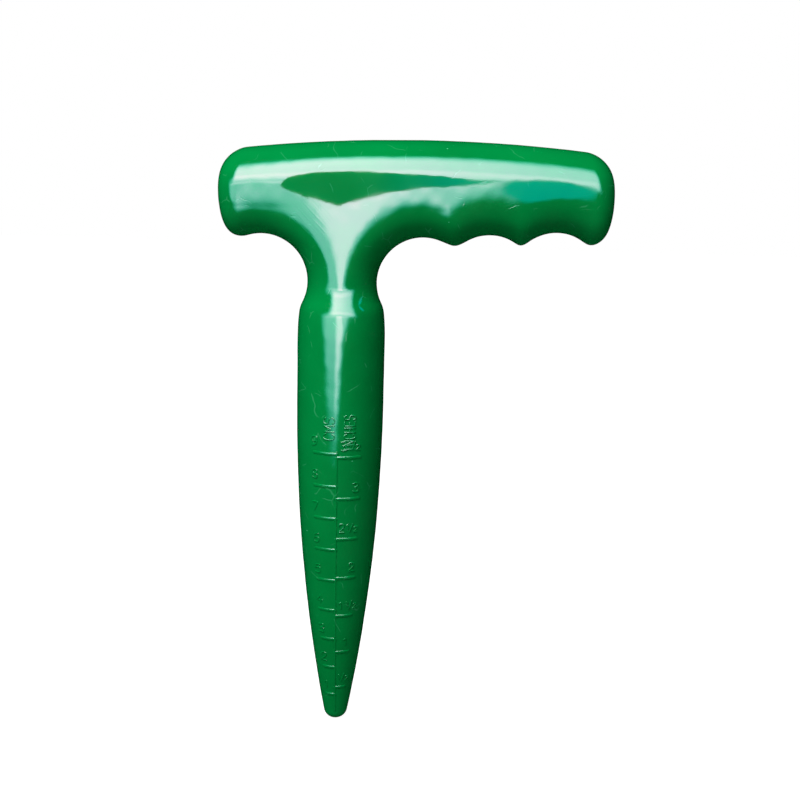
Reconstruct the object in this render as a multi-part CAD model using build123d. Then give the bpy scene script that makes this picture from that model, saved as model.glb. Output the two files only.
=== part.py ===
"""A hand dibber: a T-handled planting tool, moulded in green plastic as two half shells.

The tapered shank is pushed into the soil, and a scale on its front shows how deep the hole is, in
centimetres on the left of a centre line and in half inches on the right. The handle has three finger
grooves under its long arm and one under its short arm. The tool is hollow above a solid nose, and its
front and rear shells meet on the mid plane. A tongue round the front shell lies in a groove round the
rear one, and pins moulded on the front shell's bosses sit in sockets in the rear shell's bosses.

Frame, in millimetres: Z is the shank's axis, with the tip at the origin and the handle above. X runs
along the handle towards its long arm. The front, with the scale, faces -Y, and the seam is at Y = 0.

Every outer surface is made of arcs, and each has an inset version about the same centre. So the
cavity, the tongue and its groove are the outer shape again, taken in by their depth in the wall.
"""

from build123d import *
from math import atan2, ceil, cos, degrees, hypot, pi, sin
import os

# ---------------------------------------------------------------- overall sizes
OVERALL_LENGTH = 180.0  # tip to the top of the handle
HANDLE_SPAN = 113.0  # end to end
SHORT_REACH = 35.6  # shank axis to the end of the short arm
SHANK_DIAMETER = 26.0  # the belly, its widest part
NECK_DIAMETER = 20.5  # waist under the handle, which is as deep from front to rear as this

# ---------------------------------------------------------------- shank
TIP_ROUND = 3.3  # round of the tip, about a small flat
TIP_FLAT = 0.5  # radius of that flat
NECK_DROP = 41.0  # top of the handle down to the waist
SHOULDER_DROP = 17.0  # waist down to the end of the belly
BELLY_LENGTH = 20.0  # the plain cylinder between the taper and the shoulder
UPPER_BELLY_DRAW = 0.724  # share of the step to the waist that the slow curve over the belly would take
SHOULDER_RADIUS = 9.0  # round between the belly and the waist

# ---------------------------------------------------------------- handle
CROWN_RADIUS = 460.0  # arch of the top, along the handle
CROWN_SHIFT = 5.0  # from the middle of the handle out to the top of that arch
HANDLE_HEIGHT = 30.0  # top to underside, before the grooves are cut; the underside blunts their ridges
END_BULGE = 45.0  # radius of each end face, seen from the front
END_DROP = 16.0  # from the top down to the widest point of each end
END_ROUND = 6.0  # round of the edges of each end
GROOVE_RADIUS = 13.4  # finger grooves, and the sweep from the arms into the neck
GROOVE_PITCH = 19.3
GROOVE_RISE = 1.2  # each groove further out sits this much higher

# ---------------------------------------------------------------- shells
WALL = 2.4
NOSE_HEIGHT = 18.0  # the nose is solid up to here
RIB_THICKNESS = 1.6
RIB_SETBACK = 0.2  # ribs and rear bosses stop short of the seam, so that the rims close
SHANK_RIB_COUNT = 4  # spaced evenly from the nose to the waist
NECK_RIB_OFFSET = 3.0  # from the neck's side out to the handle rib beside it
BOSS_DIAMETER = 7.0
BOSS_DROP = 14.0  # top of the handle down to the bosses in its arms
NECK_BOSS_DROP = 20.0  # and down to the one over the neck
PIN_DIAMETER = 3.2
PIN_LENGTH = 4.0
PIN_CLEARANCE = 0.05  # radial
SOCKET_EXTRA_DEPTH = 0.6
TONGUE_INSET = 0.85  # depth of the tongue in the wall
TONGUE_WIDTH = 0.8
TONGUE_HEIGHT = 0.8
TONGUE_CLEARANCE = 0.05  # on each side and at the bottom

# ---------------------------------------------------------------- depth scale
MARK_HEIGHT = 0.2  # how far the marks stand out
MARK_ROOT = 0.6  # how deep they are rooted in the wall
SKIN_BAND = 14.0  # the skin under the scale is divided into faces about this high
BAND_BOW = 0.004  # and each face bows out by this much more than the one smooth taper
LINE_WIDTH = 0.6
TICK_WIDTH = 1.0
STROKE_WIDTH = 0.4
CENTIMETRE = 10.0
HALF_INCH = 12.7
LINE_START = 4.0  # height of the lower end of the centre line
SCALE_TOP = 92.0  # no tick stands higher than this
TICK_SHARE = 0.52  # a tick's length as a share of the shank's radius there
NUMBER_LIFT = 2.2  # from a tick up to its number
DIGIT_HEIGHT = 2.6
DIGIT_WIDTH = 1.5
DIGIT_GAP = 0.7
FRACTION_SIZE = 0.62  # a fraction's digits against whole ones
LETTER_HEIGHT = 3.0  # of the names of the units
LETTER_GAP = 0.65
CM_LETTER_WIDTH = 1.75
INCH_LETTER_WIDTH = 1.25
CM_LIFT = 4.2  # from the top tick of its side up to each unit's name
INCH_LIFT = 1.9
CM_OFFSET = -2.4  # from the centre line to the middle of each unit's name
INCH_OFFSET = 3.7

# ---------------------------------------------------------------- worked out from these
LONG_REACH = HANDLE_SPAN - SHORT_REACH
HANDLE_CENTRE = (LONG_REACH - SHORT_REACH) / 2
HALF_DEPTH = NECK_DIAMETER / 2
BELLY_RADIUS = SHANK_DIAMETER / 2
NECK_HEIGHT = OVERALL_LENGTH - NECK_DROP
BELLY_END = NECK_HEIGHT - SHOULDER_DROP
BELLY_START = BELLY_END - BELLY_LENGTH
LOBE_HEIGHT = OVERALL_LENGTH - HANDLE_HEIGHT
# The slow curve from the belly up to the shoulder.
UPPER_BELLY_STEP = UPPER_BELLY_DRAW * (BELLY_RADIUS - HALF_DEPTH)
UPPER_BELLY_RADIUS = (SHOULDER_DROP**2 + UPPER_BELLY_STEP**2) / (2 * UPPER_BELLY_STEP)
CENTIMETRE_TICKS = int(SCALE_TOP / CENTIMETRE)
HALF_INCH_TICKS = int(SCALE_TOP / HALF_INCH)
# From a groove's centre to the middle of the rounded bar of plastic that the groove runs round.
TUBE_RADIUS = GROOVE_RADIUS + HALF_DEPTH
# Every groove that fits whole under the long arm, and one that sweeps the short arm into the neck.
LONG_ARM_GROOVES = int((LONG_REACH - TUBE_RADIUS - GROOVE_RADIUS) / GROOVE_PITCH) + 1
GROOVES = [(-TUBE_RADIUS, NECK_HEIGHT)] + [
    (TUBE_RADIUS + i * GROOVE_PITCH, NECK_HEIGHT + i * GROOVE_RISE) for i in range(LONG_ARM_GROOVES)
]
# The taper is the one arc that is tangent to the tip's round and upright where the belly starts.
TAPER_RADIUS = (
    (BELLY_START - TIP_ROUND) ** 2 + (BELLY_RADIUS - TIP_FLAT) ** 2 - TIP_ROUND**2
) / (2 * (BELLY_RADIUS - TIP_FLAT - TIP_ROUND))
RIB_SPACING = (NECK_HEIGHT - NOSE_HEIGHT) / (SHANK_RIB_COUNT + 1)
SHANK_RIBS = [NOSE_HEIGHT + (i + 1) * RIB_SPACING for i in range(SHANK_RIB_COUNT)]  # heights
HANDLE_RIBS = [-HALF_DEPTH - NECK_RIB_OFFSET, HALF_DEPTH + NECK_RIB_OFFSET] + [
    (left[0] + right[0]) / 2 for left, right in zip(GROOVES[1:], GROOVES[2:])
]  # distances from the shank's axis: beside the neck, and over each ridge
BOSSES = [  # (x, z) of each pin and its socket
    (-TUBE_RADIUS, OVERALL_LENGTH - BOSS_DROP),
    (0.0, OVERALL_LENGTH - NECK_BOSS_DROP),
    (GROOVES[-1][0] - GROOVE_PITCH, OVERALL_LENGTH - BOSS_DROP),
    (0.0, SHANK_RIBS[SHANK_RIB_COUNT // 2] - RIB_SPACING / 2),
]
REACH = 2 * max(OVERALL_LENGTH, HANDLE_SPAN)  # long enough to pass right through the tool

# Each character's strokes, as (x, z) to (x, z) in a box one unit wide and one unit high.
LEFT = (0, 0, 0, 1)
RIGHT = (1, 0, 1, 1)
UPPER_LEFT = (0, 0.5, 0, 1)
UPPER_RIGHT = (1, 0.5, 1, 1)
LOWER_LEFT = (0, 0, 0, 0.5)
LOWER_RIGHT = (1, 0, 1, 0.5)
TOP = (0, 1, 1, 1)
MIDDLE = (0, 0.5, 1, 0.5)
BOTTOM = (0, 0, 1, 0)
STEM = (0.5, 0, 0.5, 1)
STROKES = {
    "0": [LEFT, RIGHT, TOP, BOTTOM],
    "1": [STEM],
    "2": [TOP, UPPER_RIGHT, MIDDLE, LOWER_LEFT, BOTTOM],
    "3": [TOP, RIGHT, MIDDLE, BOTTOM],
    "4": [UPPER_LEFT, MIDDLE, RIGHT],
    "5": [TOP, UPPER_LEFT, MIDDLE, LOWER_RIGHT, BOTTOM],
    "6": [TOP, LEFT, MIDDLE, LOWER_RIGHT, BOTTOM],
    "7": [TOP, RIGHT],
    "8": [LEFT, RIGHT, TOP, MIDDLE, BOTTOM],
    "9": [UPPER_LEFT, RIGHT, TOP, MIDDLE, BOTTOM],
    "/": [(0, 0, 1, 1)],
    "C": [TOP, LEFT, BOTTOM],
    "E": [LEFT, TOP, MIDDLE, BOTTOM],
    "H": [LEFT, RIGHT, MIDDLE],
    "I": [STEM],
    "M": [LEFT, RIGHT, (0.5, 0.3, 0, 1), (0.5, 0.3, 1, 1)],
    "N": [LEFT, RIGHT, (1, 0, 0, 1)],
    "S": [TOP, UPPER_LEFT, MIDDLE, LOWER_RIGHT, BOTTOM],
}


# ---------------------------------------------------------------- arcs
def towards(centre, point, radius):
    """The point at that radius from centre, in the direction of point."""
    reach = hypot(point[0] - centre[0], point[1] - centre[1])
    along = (point[0] - centre[0]) / reach
    up = (point[1] - centre[1]) / reach
    return (centre[0] + along * radius, centre[1] + up * radius)


def arc(centre, start, end):
    """The shorter arc about centre from start to end."""
    first = atan2(start[1] - centre[1], start[0] - centre[0])
    last = atan2(end[1] - centre[1], end[0] - centre[0])
    middle = first + ((last - first + pi) % (2 * pi) - pi) / 2
    radius = hypot(start[0] - centre[0], start[1] - centre[1])
    return ThreePointArc(start, (centre[0] + radius * cos(middle), centre[1] + radius * sin(middle)), end)


def lower_meeting(first, first_radius, second, second_radius):
    """The lower of the two points where two circles cross."""
    apart = hypot(second[0] - first[0], second[1] - first[1])
    along = (first_radius**2 - second_radius**2 + apart**2) / (2 * apart)
    off = (first_radius**2 - along**2) ** 0.5
    ux = (second[0] - first[0]) / apart
    uz = (second[1] - first[1]) / apart
    found = [
        (first[0] + along * ux - side * off * uz, first[1] + along * uz + side * off * ux)
        for side in (1, -1)
    ]
    return min(found, key=lambda point: point[1])


# ---------------------------------------------------------------- outer shape, at any inset
def taper_arcs(centre, low, high, inset):
    """The taper from low to high: one arc, or on the outer skin a chain of arcs through its points."""
    radius = TAPER_RADIUS - inset
    count = ceil((BELLY_START - TIP_ROUND) / SKIN_BAND) if inset == 0 else 1
    first = atan2(low[1] - centre[1], low[0] - centre[0])
    step = -first / count
    angles = [first + i * step for i in range(count)]
    points = [low] + [(centre[0] + radius * cos(a), centre[1] + radius * sin(a)) for a in angles[1:]]
    arcs = []
    for angle, start, end in zip(angles, points, points[1:] + [high]):
        bow = radius + (BAND_BOW if count > 1 else 0.0)
        middle = (centre[0] + bow * cos(angle + step / 2), centre[1] + bow * sin(angle + step / 2))
        arcs.append(ThreePointArc(start, middle, end))
    return arcs


def shank(inset):
    """The round shank, from the tip up to the waist."""
    tip = (TIP_FLAT, TIP_ROUND)
    taper = (BELLY_RADIUS - TAPER_RADIUS, BELLY_START)
    upper = (BELLY_RADIUS - UPPER_BELLY_RADIUS, BELLY_END)
    waist = (TUBE_RADIUS, NECK_HEIGHT)
    shoulder = lower_meeting(
        upper, UPPER_BELLY_RADIUS - SHOULDER_RADIUS, waist, GROOVE_RADIUS + SHOULDER_RADIUS
    )
    bottom = (0.0, inset)
    flat_edge = (TIP_FLAT, inset)
    nose_end = towards(taper, tip, TAPER_RADIUS - inset)
    belly_low = (BELLY_RADIUS - inset, BELLY_START)
    belly_high = (BELLY_RADIUS - inset, BELLY_END)
    shoulder_low = towards(upper, shoulder, UPPER_BELLY_RADIUS - inset)
    shoulder_high = towards(waist, shoulder, GROOVE_RADIUS + inset)
    neck = (HALF_DEPTH - inset, NECK_HEIGHT)
    outline = [
        Line(bottom, flat_edge),
        arc(tip, flat_edge, nose_end),
        *taper_arcs(taper, nose_end, belly_low, inset),
        Line(belly_low, belly_high),
        arc(upper, belly_high, shoulder_low),
        arc(shoulder, shoulder_low, shoulder_high),
        arc(waist, shoulder_high, neck),
        Line(neck, (0.0, NECK_HEIGHT)),
        Line((0.0, NECK_HEIGHT), bottom),
    ]
    return revolve(Plane.XZ * make_face(outline), Axis.Z)


def stadium_half(half, round_centre, flat_end, way):
    """A face in Y and Z: a half round of radius half at round_centre, and straight on to flat_end."""
    outline = [
        Line((-half, flat_end), (-half, round_centre)),
        ThreePointArc((-half, round_centre), (0.0, round_centre + way * half), (half, round_centre)),
        Line((half, round_centre), (half, flat_end)),
        Line((half, flat_end), (-half, flat_end)),
    ]
    return make_face(outline)


def bar(inset):
    """The handle before its grooves: flat front and rear, round underside, round arched top."""
    half = HALF_DEPTH - inset
    length = HANDLE_SPAN + 2 * (END_ROUND + CROWN_SHIFT)
    left_end = Plane(origin=(HANDLE_CENTRE - length / 2, 0, 0), x_dir=(0, 1, 0), z_dir=(1, 0, 0))
    underside = stadium_half(half, LOBE_HEIGHT + HALF_DEPTH, OVERALL_LENGTH + HALF_DEPTH, -1)
    straight = extrude(left_end * underside, length)
    crown = HANDLE_CENTRE + CROWN_SHIFT
    crown_axis = Axis((crown, 0, OVERALL_LENGTH - CROWN_RADIUS), (0, 1, 0))
    turn = degrees(length / CROWN_RADIUS)
    middle = Plane(origin=(crown, 0, 0), x_dir=(0, 1, 0), z_dir=(1, 0, 0))
    topside = stadium_half(half, OVERALL_LENGTH - HALF_DEPTH, NECK_HEIGHT, 1)
    arched = revolve((middle * topside).rotate(crown_axis, -turn / 2), crown_axis, turn)
    blank = straight & arched
    bulge_radius = END_BULGE - inset
    for side in (-1, 1):
        drum_centre = HANDLE_CENTRE + side * (HANDLE_SPAN / 2 - END_BULGE)
        drum = Pos(drum_centre, 0, OVERALL_LENGTH - END_DROP) * Rot(90, 0, 0) * Cylinder(bulge_radius, REACH)
        rest = Pos(drum_centre - side * REACH / 2, 0, 0) * Box(REACH, REACH, 2 * REACH)
        blank = blank & (drum + rest)
    return fillet(end_edges(blank, inset), END_ROUND - inset)


def end_edges(blank, inset):
    """The edges round the two end faces of the bar."""
    edges = []
    for side in (-1, 1):
        furthest = HANDLE_CENTRE + side * (HANDLE_SPAN / 2 - inset)
        end_face = min(blank.faces(), key=lambda face: abs(face.center().X - furthest))
        edges += end_face.edges()
    return edges


def groove_cutter(centre, inset):
    """What a finger groove removes: a spool with a round flank, so that the bar stays round below."""
    half = HALF_DEPTH - inset
    over = HALF_DEPTH + WALL
    profile = [
        Line((0, -over), (TUBE_RADIUS, -over)),
        Line((TUBE_RADIUS, -over), (TUBE_RADIUS, -half)),
        ThreePointArc((TUBE_RADIUS, -half), (TUBE_RADIUS - half, 0), (TUBE_RADIUS, half)),
        Line((TUBE_RADIUS, half), (TUBE_RADIUS, over)),
        Line((TUBE_RADIUS, over), (0, over)),
        Line((0, over), (0, -over)),
    ]
    place = Pos(centre[0], 0, centre[1])
    return revolve(place * make_face(profile), Axis((centre[0], 0, centre[1]), (0, 1, 0)))


def body(inset):
    """The whole tool as one solid, with every surface taken in by inset."""
    top = LOBE_HEIGHT + HALF_DEPTH
    web = Box(2 * TUBE_RADIUS, 2 * (HALF_DEPTH - inset), top - NECK_HEIGHT)
    upper = bar(inset) + Pos(0, 0, (NECK_HEIGHT + top) / 2) * web
    for centre in GROOVES:
        upper = upper - groove_cutter(centre, inset)
    return upper + shank(inset)


# ---------------------------------------------------------------- scale
def stroke(x_low, z_low, x_high, z_high):
    """A bar half a stroke wide round a line, with level ends where the line slants."""
    half = STROKE_WIDTH / 2
    low = z_low - half
    high = z_high + half
    if z_low == z_high:
        corners = [(x_low - half, low), (x_high + half, low), (x_high + half, high), (x_low - half, high)]
    else:
        corners = [(x_low - half, low), (x_low + half, low), (x_high + half, high), (x_high - half, high)]
    return make_face(Polyline(*corners, close=True))


def lettering(text, width, height, gap=0.0):
    """Text as strokes, with the lower left corner of its first character's lines at the origin."""
    pieces = []
    for place, character in enumerate(text):
        left = place * (width + gap)
        for x_low, z_low, x_high, z_high in STROKES[character]:
            line = (left + x_low * width, z_low * height, left + x_high * width, z_high * height)
            pieces.append(stroke(*line))
    return pieces


def number(halves):
    """The pieces of a count of halves, such as 2 and a half, and how far the number runs."""
    whole = str(halves // 2) if halves >= 2 else ""
    pieces = lettering(whole, DIGIT_WIDTH, DIGIT_HEIGHT, DIGIT_GAP)
    left = len(whole) * (DIGIT_WIDTH + DIGIT_GAP)
    if halves % 2 == 0:
        return pieces, left - DIGIT_GAP
    width = DIGIT_WIDTH * FRACTION_SIZE
    height = DIGIT_HEIGHT * FRACTION_SIZE
    pieces += [Pos(left, DIGIT_HEIGHT - height) * piece for piece in lettering("1", width, height)]
    pieces += [Pos(left + width, 0) * piece for piece in lettering("/", width, DIGIT_HEIGHT)]
    pieces += [Pos(left + 2 * width + DIGIT_GAP / 2, 0) * piece for piece in lettering("2", width, height)]
    return pieces, left + 3 * width + DIGIT_GAP / 2


def radius_at(height):
    """Outer radius of the shank at a height on its taper or its belly."""
    drop = max(0.0, BELLY_START - height)
    return BELLY_RADIUS - TAPER_RADIUS + (TAPER_RADIUS**2 - drop**2) ** 0.5


def centimetre_ticks():
    """Ticks to the left of the centre line, each with its number over its outer end."""
    pieces = []
    for count in range(1, CENTIMETRE_TICKS + 1):
        height = count * CENTIMETRE
        length = TICK_SHARE * radius_at(height)
        pieces.append(Pos(-length / 2, height) * Rectangle(length, TICK_WIDTH))
        digits, run = number(2 * count)
        pieces += [Pos(-length - run / 2, height + NUMBER_LIFT) * digit for digit in digits]
    return pieces


def half_inch_ticks():
    """Ticks to the right of the centre line, each with its number up to its outer end."""
    pieces = []
    for count in range(1, HALF_INCH_TICKS + 1):
        height = count * HALF_INCH
        length = TICK_SHARE * radius_at(height)
        pieces.append(Pos(length / 2, height) * Rectangle(length, TICK_WIDTH))
        digits, run = number(count)
        left = max(length - run, LINE_WIDTH + DIGIT_GAP / 2)
        pieces += [Pos(left, height + NUMBER_LIFT) * digit for digit in digits]
    return pieces


def unit_name(text, letter_width, offset, height):
    """A unit's name, which reads upwards beside the centre line."""
    upright = Pos(offset + LETTER_HEIGHT / 2, height) * Rot(0, 0, 90)
    return [upright * piece for piece in lettering(text, letter_width, LETTER_HEIGHT, LETTER_GAP)]


def scale_marks():
    """The raised scale, which follows the round of the shank and is rooted in its wall."""
    top_centimetre = CENTIMETRE_TICKS * CENTIMETRE
    top_inch = HALF_INCH_TICKS * HALF_INCH
    line_end = max(top_centimetre, top_inch) + TICK_WIDTH / 2
    line = Pos(0, (LINE_START + line_end) / 2) * Rectangle(LINE_WIDTH, line_end - LINE_START)
    flat = [line] + centimetre_ticks() + half_inch_ticks()
    flat += unit_name("CMS", CM_LETTER_WIDTH, CM_OFFSET, top_centimetre + CM_LIFT)
    flat += unit_name("INCHES", INCH_LETTER_WIDTH, INCH_OFFSET, top_inch + INCH_LIFT)
    front = Plane.XZ.offset(SHANK_DIAMETER)
    merged = Sketch() + flat
    skin = shank(-MARK_HEIGHT) - shank(MARK_ROOT)
    marks = []
    for face in merged.faces():
        marks += (extrude(front * face, -SHANK_DIAMETER) & skin).solids()
    return marks


# ---------------------------------------------------------------- shells
def half_space(side):
    """Everything on one side of the seam: -1 is the front, 1 the rear."""
    return Pos(0, side * REACH / 2, OVERALL_LENGTH / 2) * Box(REACH, REACH, REACH)


def ribs(side):
    """Cross walls in the cavity, square to the shank and to the handle, before they meet the wall."""
    middle = side * (RIB_SETBACK + REACH / 2)
    walls = [Pos(0, middle, height) * Box(REACH, REACH, RIB_THICKNESS) for height in SHANK_RIBS]
    above = NECK_HEIGHT + REACH / 2
    walls += [Pos(x, middle, above) * Box(RIB_THICKNESS, REACH, REACH) for x in HANDLE_RIBS]
    return walls


def bosses(side, setback):
    """Posts that carry the pins or the sockets, before they meet the wall."""
    length = HALF_DEPTH + BELLY_RADIUS
    middle = side * (setback + length / 2)
    return [
        Pos(x, middle, z) * Rot(90, 0, 0) * Cylinder(BOSS_DIAMETER / 2, length) for x, z in BOSSES
    ]


def seam_ring(outer_inset, inner_inset, height):
    """A ring that follows the wall round the seam, on the rear side of it."""
    outer = section(body(outer_inset), section_by=Plane.XZ)
    inner = section(body(inner_inset), section_by=Plane.XZ)
    return extrude(outer - inner, height, dir=(0, 1, 0))


def pegs(diameter, length):
    """Round pegs on the rear side of the seam, one at each boss."""
    return [
        Pos(x, length / 2, z) * Rot(90, 0, 0) * Cylinder(diameter / 2, length) for x, z in BOSSES
    ]


def shell(side, outer, cavity, setback):
    """One half of the tool, with its ribs and bosses."""
    inner = [piece & cavity for piece in ribs(side) + bosses(side, setback)]
    return ((outer - cavity) & half_space(side)) + inner


def make_shells():
    """The front and rear shells."""
    outer = body(0)
    above_nose = Pos(0, 0, NOSE_HEIGHT + REACH / 2) * Box(REACH, REACH, REACH)
    cavity = body(WALL) & above_nose
    tongue = seam_ring(TONGUE_INSET, TONGUE_INSET + TONGUE_WIDTH, TONGUE_HEIGHT)
    groove = seam_ring(
        TONGUE_INSET - TONGUE_CLEARANCE,
        TONGUE_INSET + TONGUE_WIDTH + TONGUE_CLEARANCE,
        TONGUE_HEIGHT + TONGUE_CLEARANCE,
    )
    front = shell(-1, outer, cavity, 0) + tongue + pegs(PIN_DIAMETER, PIN_LENGTH) + scale_marks()
    rear = shell(1, outer, cavity, RIB_SETBACK) - groove
    rear = rear - pegs(PIN_DIAMETER + 2 * PIN_CLEARANCE, PIN_LENGTH + SOCKET_EXTRA_DEPTH)
    return {"front_shell": front, "rear_shell": rear}


os.makedirs("parts", exist_ok=True)
for name, part in make_shells().items():
    export_step(part, f"parts/{name}.step")
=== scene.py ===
"""A hand dibber in glossy green moulded plastic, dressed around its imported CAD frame.

The front and rear shells are smooth surfaces found by numpy from the sizes that the CAD uses. Each one is
a grid of two parameters: the first runs round the tool's outline, the second from the outline in to the
middle line of the shank and of the handle. The depth scale is a set of strokes carried along paths on the
front shell. All sizes in the classes are millimetres, and meshes are stored in metres.

Frame: Z is the shank's axis with the tip at the origin, X runs to the long arm, and the front faces -Y.
"""

from __future__ import annotations

import logging
import math
from dataclasses import dataclass, field
from enum import Enum
from typing import Callable

import bpy
import numpy as np
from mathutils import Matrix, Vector

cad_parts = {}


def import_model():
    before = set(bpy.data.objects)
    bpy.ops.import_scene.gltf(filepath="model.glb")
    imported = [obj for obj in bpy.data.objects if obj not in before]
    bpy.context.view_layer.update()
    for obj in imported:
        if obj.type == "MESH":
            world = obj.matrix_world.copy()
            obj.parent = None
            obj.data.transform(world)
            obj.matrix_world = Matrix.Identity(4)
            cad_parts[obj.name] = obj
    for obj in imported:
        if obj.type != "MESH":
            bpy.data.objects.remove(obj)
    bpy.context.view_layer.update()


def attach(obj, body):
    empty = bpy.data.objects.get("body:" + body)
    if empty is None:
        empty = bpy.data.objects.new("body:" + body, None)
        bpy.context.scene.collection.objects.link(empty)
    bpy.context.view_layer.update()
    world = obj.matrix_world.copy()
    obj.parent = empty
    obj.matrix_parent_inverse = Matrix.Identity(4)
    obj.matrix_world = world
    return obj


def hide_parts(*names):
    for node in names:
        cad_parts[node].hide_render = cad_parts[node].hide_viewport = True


LOG = logging.getLogger("dibber")
MM = 0.001
BISECTIONS = 34  # halvings that find a surface, far below a micrometre on this tool
Array = np.ndarray
Tree = bpy.types.NodeTree
Source = bpy.types.NodeSocket | bpy.types.Node | float | tuple  # what an input takes: see wire
SMOOTH = {"interpolation_type": "SMOOTHSTEP"}  # for a Map Range that eases in and out, either way round


# ---------------------------------------------------------------- helpers for meshes
def solve(level: Callable[[Array], Array], low: float, high: Array) -> Array:
    """Finds where level crosses zero between low and high, by halving.

    Args:
        level: Rises from below zero at low to above zero at high, on whole arrays.
        low: A distance that lies inside the surface everywhere.
        high: A distance for each point that lies outside it.

    Returns:
        The distance to the surface for each point.
    """
    near = np.full_like(high, low)
    far = high.copy()
    for _ in range(BISECTIONS):
        middle = (near + far) / 2
        inside = level(middle) < 0
        near = np.where(inside, middle, near)
        far = np.where(inside, far, middle)
    return (near + far) / 2


def grid_faces(rows: int, columns: int, closed: bool) -> Array:
    """Quads over a grid of vertices stored row after row.

    Args:
        rows: How many rows the grid has.
        columns: How many vertices are in a row.
        closed: True where each row's last vertex joins its first.

    Returns:
        One row of four vertex numbers for each quad.
    """
    first = np.arange(rows - 1)[:, None] * columns
    across = np.arange(columns if closed else columns - 1)[None, :]
    after = (across + 1) % columns
    quads = np.stack([first + across, first + after, first + columns + after, first + columns + across], -1)
    return quads.reshape(-1, 4)


def make_mesh(name: str, points: Array, faces: Array, sharp_degrees: float = 40.0) -> bpy.types.Object:
    """Puts points in millimetres and quads into a smooth mesh object, with doubles merged.

    Vertices that round to the same micrometre are one vertex, and a quad that loses a corner by that is a
    triangle. If the signed volume, a sixth of the sum of a . (b x c) over the triangles, is negative, then
    every face is turned round.

    Args:
        name: The object's name.
        points: One row of x, y, z for each vertex, in millimetres.
        faces: One row of four vertex numbers for each quad.
        sharp_degrees: Edges that turn more than this stay sharp.

    Returns:
        The new object, linked to the scene, with its place in its mesh.
    """
    _, first, where = np.unique(np.round(points, 3), axis=0, return_index=True, return_inverse=True)
    merged = points[first]
    quads = where.reshape(-1)[faces]
    fan = np.concatenate([quads[:, [0, 1, 2]], quads[:, [0, 2, 3]]])
    a, b, c = merged[fan[:, 0]], merged[fan[:, 1]], merged[fan[:, 2]]
    if np.einsum("ij,ij->i", a, np.cross(b, c)).sum() < 0:
        quads = quads[:, ::-1]
    kept = quads != np.roll(quads, 1, axis=1)
    sizes = kept.sum(axis=1)
    whole = sizes > 2
    corners = quads[whole][kept[whole]]
    starts = np.cumsum(sizes[whole]) - sizes[whole]
    mesh = bpy.data.meshes.new(name)
    mesh.vertices.add(len(merged))
    mesh.vertices.foreach_set("co", (merged * MM).astype(np.float32).ravel())
    mesh.loops.add(len(corners))
    mesh.loops.foreach_set("vertex_index", corners.astype(np.int32))
    mesh.polygons.add(len(starts))
    mesh.polygons.foreach_set("loop_start", starts.astype(np.int32))
    mesh.update(calc_edges=True)
    mesh.validate()
    mesh.shade_smooth()
    mesh.set_sharp_from_angle(angle=math.radians(sharp_degrees))
    made = bpy.data.objects.new(name, mesh)
    bpy.context.scene.collection.objects.link(made)
    return made


# ---------------------------------------------------------------- the tool's form
OUTSIDE = -1e3  # a reach that never counts
RIPPLES = np.array(  # height, turn along x and along z in radians for each millimetre, and phase
    [
        (1.0, 0.31, 0.12, 0.4),
        (1.0, -0.23, 0.19, 2.1),
        (0.6, 0.11, 0.52, 1.3),
        (0.5, 0.44, -0.37, 5.0),
        (0.45, 0.93, 0.71, 0.9),
        (0.35, -1.21, 0.83, 3.3),
        (0.3, 0.4, 1.5, 1.9),
    ]
)


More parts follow.
